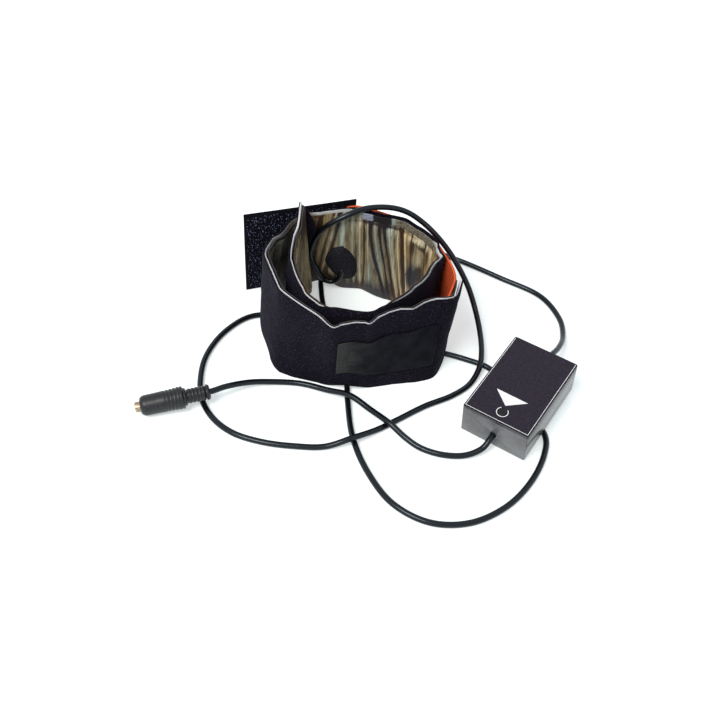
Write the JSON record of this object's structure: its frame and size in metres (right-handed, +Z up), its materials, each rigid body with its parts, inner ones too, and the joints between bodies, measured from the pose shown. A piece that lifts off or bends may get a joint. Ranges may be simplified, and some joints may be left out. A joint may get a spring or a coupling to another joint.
{
  "type": "telescope dew heater strip",
  "caption": "Padded heating strip wound into a standing coil, with an elastic strap and hook tab, a small control box with a push button, and leads with a barrel plug.",
  "frame": {"origin": "middle of the footprint at floor level, the free leads and the plug left out", "axes": "+X runs from the strip's coil to the control box, +Z is up out of the floor, +Y is away from the picture's camera"},
  "size_m": [0.2289, 0.2055, 0.0667],
  "materials": {
    "pile_black": "short black pile cloth",
    "core_white": "white padding, seen as a thin edge",
    "lining_olive": "thin shiny nylon, olive grey, crinkled",
    "ribbon_metal": "thin flat resistance ribbon",
    "label_film": "blank dark grey film",
    "tape_grey": "woven grey tape",
    "elastic_orange": "ribbed orange elastic",
    "hook_black": "black hook tape",
    "rubber_black": "moulded soft rubber, matte",
    "case_black": "moulded plastic, fine grain",
    "lid_print": "near-black film with white frame line, arrow and ring",
    "button_black": "smooth black",
    "board_green": "solder-masked board",
    "screw_steel": "plated screws",
    "part_black": "moulded component bodies",
    "capacitor_blue": "blue sleeve",
    "tie_white": "natural nylon",
    "wire_red": "red core insulation",
    "wire_black": "black core insulation",
    "lead_black": "semi-gloss black cord jacket",
    "plug_black": "moulded plug body",
    "plug_nickel": "nickel-plated barrel",
    "contact_brass": "plated spring contact"
  },
  "bodies": {
    "heater": {"cover_cloth": "pile_black", "insulation_core": "core_white", "lining_cloth": "lining_olive", "heating_ribbon": "ribbon_metal", "label_patch": "label_film", "binding_tape": "tape_grey", "lead_entry_dome": "rubber_black", "turned_corner": "pile_black", "elastic_strap": "elastic_orange", "hook_tab": "hook_black", "case_shell": "case_black", "case_lid": "case_black", "lid_label": "lid_print", "button_switch": "part_black", "circuit_board": "board_green", "board_screw_1": "screw_steel", "board_screw_2": "screw_steel", "board_screw_3": "screw_steel", "board_screw_4": "screw_steel", "microcontroller": "part_black", "voltage_regulator": "part_black", "power_transistor": "part_black", "smoothing_capacitor": "capacitor_blue", "power_lead_tie": "tie_white", "heater_lead_tie": "tie_white", "power_core_red": "wire_red", "power_core_black": "wire_black", "heater_core_red": "wire_red", "heater_core_black": "wire_black", "plug_barrel": "plug_nickel", "plug_insulator": "part_black", "plug_contact": "contact_brass", "plug_shell": "plug_black", "plug_boot": "rubber_black", "power_lead": "lead_black", "heater_lead": "lead_black"},
    "button": {"push_button": "button_black"}
  },
  "joints": [
    {"name": "button_press", "type": "slide", "parent": "heater", "child": "button", "axis": [0.0837, 0.0503, -0.9952], "range_m": [0, 0.0005], "stiffness_N_per_m": 2000}
  ]
}
